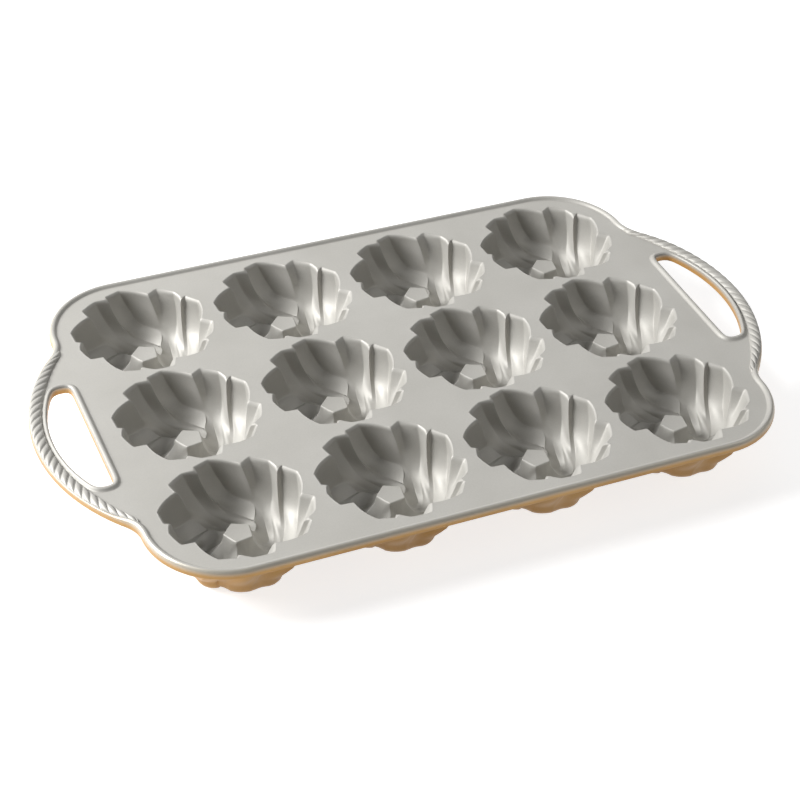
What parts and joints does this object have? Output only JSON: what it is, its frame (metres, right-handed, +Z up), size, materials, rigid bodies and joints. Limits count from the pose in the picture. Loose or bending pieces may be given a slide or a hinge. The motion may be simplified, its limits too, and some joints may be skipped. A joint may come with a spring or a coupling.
{
  "type": "mini bundt pan",
  "caption": "Flat baking pan with rows of deep swirled ring-cake cups, each round a five-sided post, a raised rim and a rope-edged loop handle at each short end.",
  "frame": {"origin": "under the middle of the pan, in the plane that its cups rest on", "axes": "+X along the pan's length to the right, +Y away from the viewer, +Z up"},
  "size_m": [0.4084, 0.2542, 0.0359],
  "materials": {
    "coated_top": "satin non-stick coating, warm light grey",
    "gold_shell": "satin gold coating"
  },
  "bodies": {
    "root": {"deck": "coated_top", "front_rim": "coated_top", "back_rim": "coated_top", "left_handle": "coated_top", "right_handle": "coated_top", "left_rope": "coated_top", "right_rope": "coated_top", "left_bead": "coated_top", "right_bead": "coated_top", "cup_1_1": "gold_shell", "cup_1_2": "gold_shell", "cup_1_3": "gold_shell", "cup_1_4": "gold_shell", "cup_2_1": "gold_shell", "cup_2_2": "gold_shell", "cup_2_3": "gold_shell", "cup_2_4": "gold_shell", "cup_3_1": "gold_shell", "cup_3_2": "gold_shell", "cup_3_3": "gold_shell", "cup_3_4": "gold_shell"}
  },
  "joints": []
}
